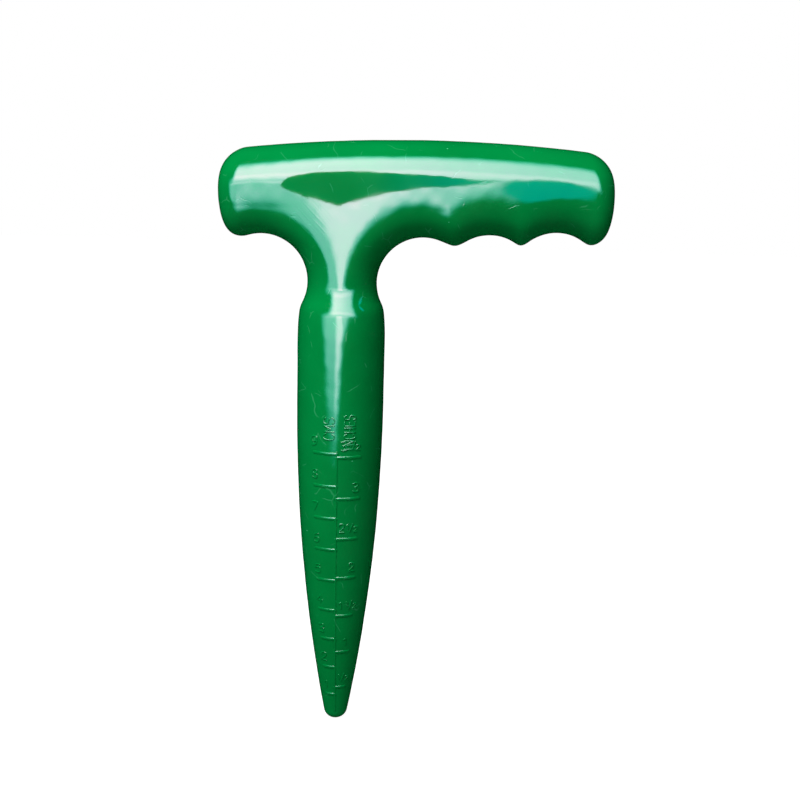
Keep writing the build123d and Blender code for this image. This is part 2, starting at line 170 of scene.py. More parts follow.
@dataclass
class DibberForm:
    """The tool's outer surface, as one level function that is negative inside.

    The sizes repeat the CAD's. The handle is a bar that is round along its top and its underside, and each
    finger groove bends that round underside about its own centre. The shank is a surface of revolution.
    """

    overall_length: float = 180.0
    handle_span: float = 113.0
    short_reach: float = 35.6
    belly_radius: float = 13.0
    half_depth: float = 10.25
    tip_round: float = 3.3
    tip_flat: float = 0.5
    neck_height: float = 139.0
    belly_end: float = 122.0
    belly_start: float = 102.0
    upper_belly_draw: float = 0.724  # share of the step to the waist that the slow curve alone would take
    shoulder_radius: float = 9.0
    crown_radius: float = 460.0
    crown_shift: float = 5.0  # from the middle of the handle to the top of its arch
    lobe_height: float = 150.0
    end_bulge: float = 45.0
    end_drop: float = 16.0
    end_round: float = 6.0
    groove_radius: float = 13.4
    groove_pitch: float = 19.3
    groove_rise: float = 1.2
    long_arm_grooves: int = 3
    ridge_blend: float = 1.8  # how far the round of a ridge between grooves reaches
    top_cushion: float = 4.0  # how far below the top's round the front starts to lean back
    low_cushion: float = 9.0  # the same above the round over the grooves, on the long arm
    short_arm_cushion: float = 13.0  # and on the short arm
    cushion_turn: float = 18.0  # from the shank's axis out to where the short arm's cushion is whole
    wall: float = 2.4
    waviness: float = 0.012  # height of the slow ripples that moulded plastic shrinks into

    def __post_init__(self) -> None:
        """Works out the centres that the other methods share."""
        self.tube_radius = self.groove_radius + self.half_depth
        self.handle_centre = self.handle_span / 2 - self.short_reach
        run = (self.belly_start - self.tip_round) ** 2
        self.taper_radius = (run + (self.belly_radius - self.tip_flat) ** 2 - self.tip_round**2) / (
            2 * (self.belly_radius - self.tip_flat - self.tip_round)
        )
        self.grooves = [(-self.tube_radius, self.neck_height)] + [
            (self.tube_radius + i * self.groove_pitch, self.neck_height + i * self.groove_rise)
            for i in range(self.long_arm_grooves)
        ]
        self.nose_end = self.tip_round - self.tip_round * (self.belly_start - self.tip_round) / (
            self.taper_radius - self.tip_round
        )
        shoulder_drop = self.neck_height - self.belly_end
        draw = self.upper_belly_draw * (self.belly_radius - self.half_depth)
        self.upper_belly_radius = (shoulder_drop**2 + draw**2) / (2 * draw)
        # The shoulder's round touches the upper belly from inside and the waist's hollow from outside.
        upper_x = self.belly_radius - self.upper_belly_radius
        reach_low = self.upper_belly_radius - self.shoulder_radius
        reach_high = self.groove_radius + self.shoulder_radius
        dx, dz = self.tube_radius - upper_x, self.neck_height - self.belly_end
        apart = math.hypot(dx, dz)
        along = (reach_low**2 - reach_high**2 + apart**2) / (2 * apart)
        off = math.sqrt(reach_low**2 - along**2)
        self.shoulder_x = upper_x + (along * dx + off * dz) / apart
        self.shoulder_z = self.belly_end + (along * dz - off * dx) / apart
        self.shoulder_low = self.belly_end + (self.shoulder_z - self.belly_end) * (
            self.upper_belly_radius / reach_low
        )
        self.shoulder_high = self.neck_height + (self.shoulder_z - self.neck_height) * (
            self.groove_radius / reach_high
        )

    def shank_radius(self, z: Array) -> Array:
        """Radius of the shank: taper, belly, upper belly, shoulder and waist.

        All but the belly are arcs, each at sqrt(radius^2 - (z - centre)^2) from its own axis.

        Args:
            z: Heights above the tip.

        Returns:
            The radius at each height.
        """

        def rise(radius: float, centre: float) -> Array:
            """How far an arc centred at a height stands out from its axis."""
            return np.sqrt(np.clip(radius**2 - (z - centre) ** 2, 0, None))

        taper = self.belly_radius - self.taper_radius + rise(self.taper_radius, self.belly_start)
        upper = self.belly_radius - self.upper_belly_radius + rise(self.upper_belly_radius, self.belly_end)
        shoulder = self.shoulder_x + rise(self.shoulder_radius, self.shoulder_z)
        waist = self.tube_radius - rise(self.groove_radius, self.neck_height)
        heights = [
            z < self.belly_start,
            z < self.belly_end,
            z < self.shoulder_low,
            z < self.shoulder_high,
        ]
        return np.select(heights, [taper, self.belly_radius + 0 * z, upper, shoulder], waist)

    def shank_level(self, x: Array, y: Array, z: Array) -> Array:
        """Level of the shank: distance from the axis less the radius, and a ring's round at the tip.

        Args:
            x: Places across the tool.
            y: Places from front to rear.
            z: Heights above the tip.

        Returns:
            The level at each point.
        """
        out = np.hypot(x, y)
        tip = np.hypot(np.maximum(out - self.tip_flat, 0), self.tip_round - z) - self.tip_round
        return np.where(z < self.nose_end, tip, out - self.shank_radius(z))

    @staticmethod
    def blended_max(a: Array, b: Array, reach: float) -> Array:
        """The larger of two, plus (reach - |a - b|)^2 / 4 reach where they differ by less than reach."""
        return np.maximum(a, b) + np.clip(reach - np.abs(a - b), 0, None) ** 2 / (4 * reach)

    @staticmethod
    def soft_ramp(t: Array, reach: Array) -> Array:
        """The larger of t and 0, but (t + reach)^2 / 4 reach where t lies between -reach and reach."""
        return np.where(t > reach, t, np.clip(t + reach, 0, None) ** 2 / (4 * reach))

    def handle_level(self, x: Array, y: Array, z: Array) -> Array:
        """Level of the handle: a rounded bar, less its grooves, with rounded ends.

        Each reach t is how far a point is past the middle of a round edge, in the plane of the outline. The
        level is the length of (top t, low t, y) less half the depth. The reaches come in over a cushion, so
        the front is slightly full rather than flat.

        Args:
            x: Places across the tool.
            y: Places from front to rear.
            z: Heights above the tip.

        Returns:
            The level at each point.
        """
        top_x = self.handle_centre + self.crown_shift
        crown = np.hypot(x - top_x, z - self.overall_length + self.crown_radius)
        top = crown - (self.crown_radius - self.half_depth)
        hollows = [self.tube_radius - np.hypot(x - cx, z - cz) for cx, cz in self.grooves]
        low = np.where(np.abs(x) < self.tube_radius, OUTSIDE, self.lobe_height + self.half_depth - z)
        for hollow in hollows:
            low = self.blended_max(low, hollow, self.ridge_blend)
        web = np.maximum(hollows[0], hollows[1])
        low = np.where(np.abs(x) < self.tube_radius, web, low)
        arm_height = self.lobe_height + self.half_depth - self.neck_height
        share = np.clip((z - self.neck_height) / arm_height, 0.01, 1)
        turn = np.clip(-x / self.cushion_turn, 0, 1)
        eased = turn * turn * (3 - 2 * turn)
        cushion = self.low_cushion + (self.short_arm_cushion - self.low_cushion) * eased
        high_past = self.soft_ramp(top, self.top_cushion + 0 * x)
        low_past = self.soft_ramp(low, cushion * share)
        tube = np.sqrt(high_past**2 + low_past**2 + y**2) - self.half_depth
        bulge = self.handle_span / 2 - self.end_bulge
        side = np.sign(x - self.handle_centre)
        away = x - self.handle_centre - side * bulge
        end = np.hypot(away, z - self.overall_length + self.end_drop) - self.end_bulge
        end = np.where(away * side > 0, end, -self.end_bulge)
        a = np.maximum(tube + self.end_round, 0)
        b = np.maximum(end + self.end_round, 0)
        return np.where((a > 0) & (b > 0), np.hypot(a, b) - self.end_round, np.maximum(tube, end))

    def ripple(self, x: Array, z: Array) -> Array:
        """Ripples: a sum of sines 4 to 21 mm long, at slanted angles."""
        waves = (high * np.sin(by_x * x + by_z * z + phase) for high, by_x, by_z, phase in RIPPLES)
        return self.waviness * sum(waves)

    def level(self, x: Array, y: Array, z: Array) -> Array:
        """Level of the whole tool: the shank below the waist and the handle above it, both rippled."""
        whole = np.where(z < self.neck_height, self.shank_level(x, y, z), self.handle_level(x, y, z))
        return whole + self.waviness * RIPPLES[:, 0].sum() + self.ripple(x, z)

    def depth(self, x: Array, z: Array, inset: float = 0.0) -> Array:
        """How far the surface, taken in by inset, lies from the seam plane over each point of it."""
        high = np.full_like(x, self.belly_radius + 2)
        return solve(lambda y: self.level(x, y, z) + inset, 0.0, high)


@dataclass
class ShellSkin:
    """One half of the tool as a closed shell on a grid.

    The first parameter runs round the outline. Each of its stations has a root on the middle line of the
    shank or the handle, and a direction out from there. The second parameter runs from the outline in to
    the root, so a point lies at root + direction * reach * cos(t * 90 degrees), and its depth is found
    from the form. The rows go up the inner wall, over the flat rim, round the small bevel at the seam and
    across the outer surface.
    """

    form: DibberForm
    tip_root: float = 3.8
    middle: float = 165.0  # height of the handle's middle line
    left_root: float = -23.65
    right_root: float = 64.5
    step: float = 0.55  # spacing of the stations
    outer_rows: int = 34
    inner_rows: int = 10
    bevel: float = 0.12  # the seam's bevel, along the surface
    bevel_depth: float = 0.09
    turn_steps: int = 24  # stations round each half of the sweep into the neck
    sweep_steps: int = 34
    end_steps: int = 110  # round each end of the handle
    tip_steps: int = 44
    beyond: float = 30.0  # farther from a root than any surface

    def stations(self) -> tuple[Array, Array, Array]:
        """Roots and directions round the outline, from the tip up the left side and back down the right.

        Returns:
            x of the roots, z of the roots, and the direction angles in radians.
        """
        form = self.form
        up = np.linspace(self.tip_root, form.neck_height, int((form.neck_height - self.tip_root) / self.step))
        half_turn = np.linspace(0, math.pi / 4, self.turn_steps)
        rise = np.linspace(form.neck_height, self.middle, self.turn_steps)[1:]
        along = np.linspace(0, form.tube_radius, self.sweep_steps)[1:]
        swing = np.linspace(math.pi / 4, math.pi / 2, self.sweep_steps)[1:]

        def armpit(side: int, root_x: Array, root_z: Array, turn: Array) -> Array:
            """Angles from roots to points on a sweep.

            Args:
                side: -1 for the left sweep, 1 for the right one.
                root_x: Places of the roots across the tool.
                root_z: Their heights.
                turn: How far round the sweep's arc each point lies, in radians from the waist.

            Returns:
                The direction from each root to its point, in radians.
            """
            centre = side * form.tube_radius
            to_x = centre - side * form.groove_radius * np.cos(turn) - root_x
            to_z = form.neck_height + form.groove_radius * np.sin(turn) - root_z
            return np.arctan2(to_z, to_x)

        under_steps = int((self.right_root - form.tube_radius) / self.step)
        under = np.linspace(form.tube_radius, self.right_root, under_steps)[1:]
        left_fan = np.linspace(-math.pi / 2, -3 * math.pi / 2, self.end_steps)[1:-1]
        right_fan = np.linspace(math.pi / 2, -math.pi / 2, self.end_steps)[1:-1]
        tip_fan = np.linspace(0, -math.pi, self.tip_steps)[1:-1]
        top = np.concatenate([-along[::-1], [0.0], along, under])
        parts = [
            (0 * up, up, 0 * up + math.pi),
            (0 * rise, rise, armpit(-1, 0 * rise, rise, half_turn[1:])),
            (-along, 0 * along + self.middle, armpit(-1, -along, 0 * along + self.middle, swing)),
            (0 * left_fan + self.left_root, 0 * left_fan + self.middle, left_fan),
            (top, 0 * top + self.middle, 0 * top + math.pi / 2),
            (0 * right_fan + self.right_root, 0 * right_fan + self.middle, right_fan),
            (under[::-1], 0 * under + self.middle, 0 * under - math.pi / 2),
            (along[::-1], 0 * along + self.middle, armpit(1, along, 0 * along + self.middle, swing)[::-1]),
            (0 * rise, rise[::-1], armpit(1, 0 * rise, rise, half_turn[1:])[::-1]),
            (0 * up, up[::-1], 0 * up),
            (0 * tip_fan, 0 * tip_fan + self.tip_root, tip_fan),
        ]
        return tuple(np.concatenate([part[i] for part in parts]) for i in range(3))

    def build(self, name: str, side: int) -> bpy.types.Object:
        """Makes one shell.

        Args:
            name: The object's name.
            side: -1 for the front shell, 1 for the rear one.

        Returns:
            The shell's object.
        """
        root_x, root_z, angle = self.stations()
        dx, dz = np.cos(angle), np.sin(angle)
        far = np.full_like(root_x, self.beyond)

        def reach(y: float, inset: float) -> Array:
            """How far the surface, taken in by inset, lies from each root at a depth y."""
            return solve(
                lambda r: self.form.level(root_x + r * dx, y + 0 * r, root_z + r * dz) + inset, 0.0, far
            )

        def row(distance: Array, y: Array) -> Array:
            """Points at a distance from each root and a depth from the seam plane."""
            return np.stack([root_x + distance * dx, side * y, root_z + distance * dz], -1)

        def rows(outline: Array, count: int, inset: float) -> list[Array]:
            """Rows across the surface, from its outline in to the roots.

            Args:
                outline: How far the outline lies from each root.
                count: How many rows to make.
                inset: How far the surface is taken in.

            Returns:
                The points of each row.
            """
            made = []
            for t in np.linspace(0, 1, count + 1)[1:]:
                distance = outline * math.cos(t * math.pi / 2) if t < 1 else 0 * outline
                x, z = root_x + distance * dx, root_z + distance * dz
                made.append(row(distance, self.form.depth(x, z, inset)))
            return made

        inner = reach(0.0, self.form.wall)
        outer = reach(0.0, 0.0)
        table = rows(inner, self.inner_rows, self.form.wall)[::-1]
        table.append(row(inner, 0 * inner))
        table.append(row(reach(0.0, self.bevel_depth), 0 * inner))
        table.append(row(reach(self.bevel, 0.0), self.bevel + 0 * inner))
        table += rows(outer, self.outer_rows, 0.0)
        points = np.concatenate(table)
        return make_mesh(name, points, grid_faces(len(table), len(root_x), True))


# ---------------------------------------------------------------- depth scale
class Curve(Enum):
    """How a stroke runs through its points."""

    STRAIGHT = 0
    ROUND = 3  # corners cut three times
    LOOP = 4  # closed, corners cut three times


GLYPHS: dict[str, list[tuple[Curve, list[tuple[float, float]]]]] = {  # corners on a unit square
    "0": [(Curve.LOOP, [(0, 0.5), (0, 1), (1, 1), (1, 0.5), (1, 0), (0, 0)])],
    "1": [(Curve.STRAIGHT, [(0.2, 0.8), (0.55, 1), (0.55, 0)])],
    "2": [(Curve.ROUND, [(0, 0.75), (0.1, 1.05), (1, 1.05), (1, 0.6), (0, 0.1), (0, 0)]),
          (Curve.STRAIGHT, [(0, 0), (1, 0)])],
    "3": [(Curve.ROUND, [(0, 0.95), (0.9, 1.1), (1, 0.6), (0.35, 0.53)]),
          (Curve.ROUND, [(0.35, 0.53), (1.1, 0.5), (1, -0.08), (0, 0.04)])],
    "4": [(Curve.STRAIGHT, [(0.75, 0), (0.75, 1), (0, 0.3), (1, 0.3)])],
    "5": [(Curve.STRAIGHT, [(0.95, 1), (0.1, 1), (0.05, 0.58)]),
          (Curve.ROUND, [(0.05, 0.58), (1.1, 0.75), (1.1, -0.08), (0, 0.03)])],
    "6": [(Curve.ROUND, [(0.9, 1), (0.1, 0.95), (-0.05, 0.1), (0.3, -0.05), (1.05, 0), (1, 0.62),
                         (0.02, 0.5)])],
    "7": [(Curve.STRAIGHT, [(0, 1), (1, 1), (0.35, 0)])],
    "8": [(Curve.LOOP, [(0.5, 0.53), (0.05, 0.6), (0.08, 1), (0.92, 1), (0.95, 0.6)]),
          (Curve.LOOP, [(0.5, 0.53), (-0.05, 0.45), (0, 0), (1, 0), (1.05, 0.45)])],
    "9": [(Curve.ROUND, [(0.1, 0), (0.9, 0.05), (1.05, 0.9), (0.7, 1.05), (-0.05, 1), (0, 0.38),
                         (0.98, 0.5)])],
    "/": [(Curve.STRAIGHT, [(0, 0), (1, 1)])],
    "C": [(Curve.ROUND, [(1, 0.82), (0.8, 1.08), (0, 1), (0, 0), (0.8, -0.08), (1, 0.18)])],
    "E": [(Curve.STRAIGHT, [(1, 1), (0, 1), (0, 0), (1, 0)]), (Curve.STRAIGHT, [(0, 0.52), (0.8, 0.52)])],
    "H": [(Curve.STRAIGHT, [(0, 0), (0, 1)]), (Curve.STRAIGHT, [(1, 0), (1, 1)]),
          (Curve.STRAIGHT, [(0, 0.5), (1, 0.5)])],
    "I": [(Curve.STRAIGHT, [(0.5, 0), (0.5, 1)])],
    "M": [(Curve.STRAIGHT, [(0, 0), (0, 1), (0.5, 0.3), (1, 1), (1, 0)])],
    "N": [(Curve.STRAIGHT, [(0, 0), (0, 1), (1, 0), (1, 1)])],
    "S": [(Curve.ROUND, [(0.95, 0.85), (0.8, 1.08), (0, 1), (0, 0.55), (1, 0.48), (1, 0), (0.2, -0.08),
                         (0, 0.15)])],
}
# Across a stroke, as shares of its half width: the eleven corners of its profile, the last two at its root.
PROFILE = np.array([-1.0, -0.97, -0.86, -0.62, 0.0, 0.62, 0.86, 0.97, 1.0, 1.0, -1.0])
ROUND_END = np.array([1.0, 0.92, 0.7, 0.38])  # rows past a stroke's end, as shares of its half width
END_WIDTH = np.array([0.05, 0.392, 0.714, 0.925])  # width of each of those rows, nearly a half circle
END_HEIGHT = np.array([0.1, 0.6, 0.85, 0.97])  # and its height, against the stroke's own


def smooth_path(points: Array, curve: Curve) -> Array:
    """Cuts a path's corners: each run gives points a quarter and three quarters along, three times over.

    Args:
        points: One row of x, z for each corner.
        curve: Whether the path is straight, rounded or a closed loop.

    Returns:
        The path's points, with the ends kept, or the first one repeated at the end of a loop.
    """
    if curve is Curve.STRAIGHT:
        return points
    path = np.concatenate([points, points[:1]]) if curve is Curve.LOOP else points
    for _ in range(3):
        start, end = path[:-1], path[1:]
        cut = np.stack([0.75 * start + 0.25 * end, 0.25 * start + 0.75 * end], 1).reshape(-1, 2)
        if curve is Curve.LOOP:
            path = np.concatenate([cut, cut[:1]])
        else:
            path = np.concatenate([path[:1], cut[1:-1], path[-1:]])
    return path


def spaced(path: Array, step: float) -> Array:
    """Spaces a path's points evenly.

    Args:
        path: One row of x, z for each point.
        step: About how far apart the new points are.

    Returns:
        The new points along the same path.
    """
    lengths = np.concatenate([[0], np.cumsum(np.hypot(*np.diff(path, axis=0).T))])
    count = max(3, int(lengths[-1] / step) + 1)
    at = np.linspace(0, lengths[-1], count)
    return np.stack([np.interp(at, lengths, path[:, i]) for i in range(2)], -1)


@dataclass
class DepthScale:
    """The raised scale: a centre line, ticks, numbers and the names of the units."""

    form: DibberForm
    height: float = 0.2
    root: float = 0.35  # how deep the marks are rooted in the skin
    path_step: float = 0.3  # along a stroke
    sharp_degrees: float = 60.0
    line_width: float = 0.6
    tick_width: float = 1.0
    stroke_width: float = 0.42
    centimetre: float = 10.0
    half_inch: float = 12.7
    scale_top: float = 92.0  # no tick stands higher than this
    line_start: float = 4.0
    tick_share: float = 0.52
    number_lift: float = 2.2
    digit_height: float = 2.6
    digit_width: float = 1.5
    digit_gap: float = 0.7
    fraction_size: float = 0.62
    letter_height: float = 3.0
    letter_gap: float = 0.65
    cm_letter_width: float = 1.75
    inch_letter_width: float = 1.25
    cm_lift: float = 4.2
    inch_lift: float = 1.9
    cm_offset: float = -2.4
    inch_offset: float = 3.7
    strokes: list[tuple[Array, float]] = field(default_factory=list)

    def add(
        self, points: list[tuple[float, float]] | Array, width: float, curve: Curve = Curve.STRAIGHT
    ) -> None:
        """Adds one stroke of a width, through points given as x and z in millimetres."""
        self.strokes.append((spaced(smooth_path(np.asarray(points, float), curve), self.path_step), width))

    def write(
        self, text: str, x: float, z: float, width: float, height: float, gap: float, upright: bool
    ) -> None:
        """Writes text in strokes.

        Args:
            text: Letters that have glyphs.
            x: The left edge of the text, or its right edge if it is upright.
            z: The foot of the text.
            width: Width of a letter.
            height: Height of a letter.
            gap: Space between letters.
            upright: True for text that reads upwards.
        """
        for place, letter in enumerate(text):
            for curve, points in GLYPHS[letter]:
                flat = np.asarray(points, float) * (width, height) + (place * (width + gap), 0)
                turned = np.stack([-flat[:, 1], flat[:, 0]], -1) if upright else flat
                self.add(turned + (x, z), self.stroke_width, curve)

    def number(self, halves: int) -> tuple[str, float]:
        """Measures a number.

        Args:
            halves: The number as a count of halves.

        Returns:
            Its whole part as text, and its width with the half, if it has one.
        """
        whole = str(halves // 2) if halves >= 2 else ""
        run = len(whole) * (self.digit_width + self.digit_gap)
        if halves % 2:
            return whole, run + 3 * self.digit_width * self.fraction_size + self.digit_gap / 2
        return whole, run - self.digit_gap

    def write_number(self, halves: int, x: float, z: float) -> None:
        """Writes a number, such as 2 and a half.

        Args:
            halves: The number as a count of halves.
            x: Its left edge.
            z: Its foot.
        """
        whole, _ = self.number(halves)
        self.write(whole, x, z, self.digit_width, self.digit_height, self.digit_gap, False)
        if halves % 2:
            left = x + len(whole) * (self.digit_width + self.digit_gap)
            width, height = self.digit_width * self.fraction_size, self.digit_height * self.fraction_size
            self.write("1", left, z + self.digit_height - height, width, height, 0, False)
            self.write("/", left + width, z, width, self.digit_height, 0, False)
            self.write("2", left + 2 * width + self.digit_gap / 2, z, width, height, 0, False)

    def lay_out(self) -> None:
        """Places every mark as the CAD does."""
        centimetre_ticks = int(self.scale_top / self.centimetre)
        half_inch_ticks = int(self.scale_top / self.half_inch)
        top_cm, top_inch = centimetre_ticks * self.centimetre, half_inch_ticks * self.half_inch
        self.add([(0, self.line_start), (0, max(top_cm, top_inch) + self.tick_width / 2)], self.line_width)
        for count in range(1, centimetre_ticks + 1):
            z = count * self.centimetre
            length = self.tick_share * float(self.form.shank_radius(np.array([z]))[0])
            self.add([(-length, z), (0, z)], self.tick_width)
            run = self.number(2 * count)[1]
            self.write_number(2 * count, -length - run / 2, z + self.number_lift)
        for count in range(1, half_inch_ticks + 1):
            z = count * self.half_inch
            length = self.tick_share * float(self.form.shank_radius(np.array([z]))[0])
            self.add([(0, z), (length, z)], self.tick_width)
            left = max(length - self.number(count)[1], self.line_width + self.digit_gap / 2)
            self.write_number(count, left, z + self.number_lift)
        for text, width, offset, z in (
            ("CMS", self.cm_letter_width, self.cm_offset, top_cm + self.cm_lift),
            ("INCHES", self.inch_letter_width, self.inch_offset, top_inch + self.inch_lift),
        ):
            right = offset + self.letter_height / 2
            self.write(text, right, z, width, self.letter_height, self.letter_gap, True)

    def build(self, name: str) -> bpy.types.Object:
        """Carries one closed profile along every stroke, on the front of the shank.

        Across a stroke, v runs from -1 to 1 and the mark stands height * (1 - v^6) above the skin, so it has
        a flat top and round shoulders. Past each end it narrows as a half circle does, and gets lower.

        Args:
            name: The object's name.

        Returns:
            The scale's object.
        """
        self.lay_out()
        lift = self.height * (1 - np.abs(PROFILE) ** 6)
        lift[-2:] = -self.root
        columns = len(PROFILE)
        points, faces, start = [], [], 0
        for path, width in self.strokes:
            way = np.gradient(path, axis=0)
            way /= np.hypot(*way.T)[:, None]
            beside = np.stack([-way[:, 1], way[:, 0]], -1)
            half = width / 2
            past = ROUND_END[:, None] * half
            line = np.concatenate([path[0] - way[0] * past, path, path[-1] + way[-1] * past[::-1]])
            sides = np.concatenate([np.repeat(beside[:1], 4, 0), beside, np.repeat(beside[-1:], 4, 0)])
            ones = np.ones(len(path))
            widths = half * np.concatenate([END_WIDTH, ones, END_WIDTH[::-1]])
            heights = np.concatenate([END_HEIGHT, ones, END_HEIGHT[::-1]])[:, None]
            flat = line[:, None, :] + sides[:, None, :] * (widths[:, None] * PROFILE)[..., None]
            x, z = flat[..., 0], flat[..., 1]
            y = -(self.form.depth(x, z) + np.where(lift > 0, lift * heights, lift))
            points.append(np.stack([x, y, z], -1).reshape(-1, 3))
            faces.append(grid_faces(len(line), columns, True) + start)
            for row in (0, len(line) - 1):
                ring = start + row * columns + np.arange(columns)
                across = np.stack([ring[0:4], ring[1:5], ring[7:3:-1], ring[8:4:-1]], -1)
                cap = np.concatenate([across, [[ring[0], ring[8], ring[9], ring[10]]]])
                faces.append(cap[:, ::-1] if row == 0 else cap)
            start += len(line) * columns
        return make_mesh(name, np.concatenate(points), np.concatenate(faces), self.sharp_degrees)


# ---------------------------------------------------------------- finishes
def linear(colour: str) -> tuple[float, float, float, float]:
    """Turns an sRGB hex colour into linear red, green, blue and an alpha of one."""
    parts = [int(colour[i : i + 2], 16) / 255 for i in (1, 3, 5)]
    return tuple(c / 12.92 if c <= 0.04045 else ((c + 0.055) / 1.055) ** 2.4 for c in parts) + (1.0,)


def wire(tree: Tree, node: bpy.types.Node, links: dict[str | int, Source]) -> None:
    """Sets a node's inputs, by name or number.

    Args:
        tree: The node's tree.
        node: The node.
        links: For each input a value to set, a socket to link from, or a node whose first output to use.
    """
    for key, value in links.items():
        if isinstance(value, bpy.types.Node):
            value = value.outputs[0]
        if isinstance(value, bpy.types.NodeSocket):
            tree.links.new(value, node.inputs[key])
        else:
            node.inputs[key].default_value = value


def add_node(
    tree: Tree, kind: str, links: dict[str | int, Source] | None = None, **settings: object
) -> bpy.types.Node:
    """Adds a node with its settings and links.

    Args:
        tree: The node tree to add to.
        kind: The node's type name, without its usual start.
        links: What its inputs take, as wire has it.
        settings: Attributes of the node itself.

    Returns:
        The new node.
    """
    node = tree.nodes.new("ShaderNode" + kind)
    for key, value in settings.items():
        setattr(node, key, value)
    wire(tree, node, links or {})
    return node


def new_material(name: str) -> tuple[bpy.types.Material, Tree, bpy.types.Node]:
    """Makes a material that uses nodes.

    Args:
        name: Its name.

    Returns:
        The material, its node tree and the shader in it.
    """
    made = bpy.data.materials.new(name)
    made.use_nodes = True
    return made, made.node_tree, made.node_tree.nodes["Principled BSDF"]


@dataclass(frozen=True)
class GlossyPolypropylene:
    """Injection-moulded polypropylene from a polished mould, pigmented deep green.

    The polish gives sharp, bright reflections over a saturated body colour, and handling leaves hairline
    scratches and small pale nicks.
    """

    name: str = "moulded_green_polypropylene"
    body: str = "#007F3C"
    deep: str = "#006C2E"
    nick: str = "#4FB588"
    roughness: float = 0.09
    ior: float = 1.49
    flow_size: float = 20.0  # all sizes in millimetres
    nick_spacing: float = 7.0
    nick_edge: tuple[float, float] = (0.03, 0.018)  # where a nick starts and is full, against its cell
    hairline_spacing: float = 9.0
    hairline_edge: tuple[float, float] = (0.016, 0.004)  # the same for a hairline
    hairline_wave: float = 6.0
    hairline_wander: float = 3.0
    hairline_patch: float = 5.0
    hairline_noise: tuple[float, float] = (0.56, 0.66)  # levels of noise between which they appear
    hairline_paleness: float = 0.2
    hairline_height: float = -0.5  # heights are shares of the relief's
    wear_size: float = 12.0
    wear_noise: tuple[float, float] = (0.35, 0.7)  # levels of noise between which wear changes the gloss
    wear_change: tuple[float, float] = (-0.03, 0.06)  # and what it adds to the roughness
    grain_size: float = 0.9
    grain_height: float = 0.3
    relief_height: float = 0.05
    relief_strength: float = 0.4
    rub_place: tuple[float, float, float] = (-9.0, -10.0, 156.5)
    rub_size: tuple[float, float, float] = (12.0, 6.0, 0.6)  # one streak
    rub_reach: tuple[float, float] = (8.0, 3.0)  # from its place out to where rubbing ends, and is full
    rub_turn: float = 46.0  # degrees that the streaks lean
    rub_height: float = 1.6

    def material(self) -> bpy.types.Material:
        """Builds the node material.

        Returns:
            The material, which reads Object coordinates in metres.
        """
        made, tree, shader = new_material(self.name)
        place = add_node(tree, "TexCoord").outputs["Object"]
        hairlines = self.hairlines(tree, place)
        dress = {
            "Base Color": self.colour(tree, place, hairlines),
            "Roughness": self.gloss(tree, place),
            "Normal": self.relief(tree, place, hairlines),
            "IOR": self.ior,
        }
        wire(tree, shader, dress)
        return made

    def hairlines(self, tree: Tree, place: Source) -> bpy.types.Node:
        """Hairline scratches: the edges of wavy cells, broken up by patches.

        Args:
            tree: The material's tree.
            place: Object coordinates.

        Returns:
            A node that gives 1 in a scratch and 0 elsewhere.
        """
        wave = 1 / (self.hairline_wave * MM)
        wander = add_node(tree, "TexNoise", {"Vector": place, "Scale": wave, "Detail": 2.0})
        wide = (self.hairline_wander * MM,) * 3
        shifted = add_node(
            tree, "VectorMath", {0: wander.outputs["Color"], 1: wide, 2: place}, operation="MULTIPLY_ADD"
        )
        spaced_out = {"Vector": shifted, "Scale": 1 / (self.hairline_spacing * MM)}
        cells = add_node(tree, "TexVoronoi", spaced_out, feature="DISTANCE_TO_EDGE")
        outer, inner = self.hairline_edge
        line = add_node(tree, "MapRange", {"Value": cells, "From Min": outer, "From Max": inner}, **SMOOTH)
        patch = 1 / (self.hairline_patch * MM)
        patches = add_node(tree, "TexNoise", {"Vector": place, "Scale": patch, "Detail": 1.0})
        low, high = self.hairline_noise
        present = add_node(tree, "MapRange", {"Value": patches, "From Min": low, "From Max": high}, **SMOOTH)
        return add_node(tree, "Math", {0: line, 1: present}, operation="MULTIPLY")

    def colour(self, tree: Tree, place: Source, hairlines: Source) -> bpy.types.NodeSocket:
        """Pigment that varies as the melt flowed, with pale nicks some 0.3 mm across and pale hairlines.

        Args:
            tree: The material's tree.
            place: Object coordinates.
            hairlines: Where the hairlines are.

        Returns:
            The socket that gives the colour.
        """
        flow_scale = 1 / (self.flow_size * MM)
        flow = add_node(tree, "TexNoise", {"Vector": place, "Scale": flow_scale, "Detail": 3.0})
        shades = {0: flow, 6: linear(self.deep), 7: linear(self.body)}
        pigment = add_node(tree, "Mix", shades, data_type="RGBA").outputs[2]
        cells = add_node(tree, "TexVoronoi", {"Vector": place, "Scale": 1 / (self.nick_spacing * MM)})
        outer, inner = self.nick_edge
        nicked = add_node(tree, "MapRange", {"Value": cells, "From Min": outer, "From Max": inner}, **SMOOTH)
        pale = add_node(tree, "Math", {0: hairlines, 1: self.hairline_paleness}, operation="MULTIPLY")
        worn = add_node(tree, "Math", {0: nicked, 1: pale}, operation="MAXIMUM")
        return add_node(tree, "Mix", {0: worn, 6: pigment, 7: linear(self.nick)}, data_type="RGBA").outputs[2]

    def gloss(self, tree: Tree, place: Source) -> bpy.types.Node:
        """Roughness, which handling changes a little in patches.

        Args:
            tree: The material's tree.
            place: Object coordinates.

        Returns:
            The node that gives the roughness.
        """
        size = 1 / (self.wear_size * MM)
        wear = add_node(tree, "TexNoise", {"Vector": place, "Scale": size, "Detail": 6.0, "Roughness": 0.6})
        low, high = self.wear_noise
        least, most = (self.roughness + change for change in self.wear_change)
        levels = {"Value": wear, "From Min": low, "From Max": high, "To Min": least, "To Max": most}
        return add_node(tree, "MapRange", levels)

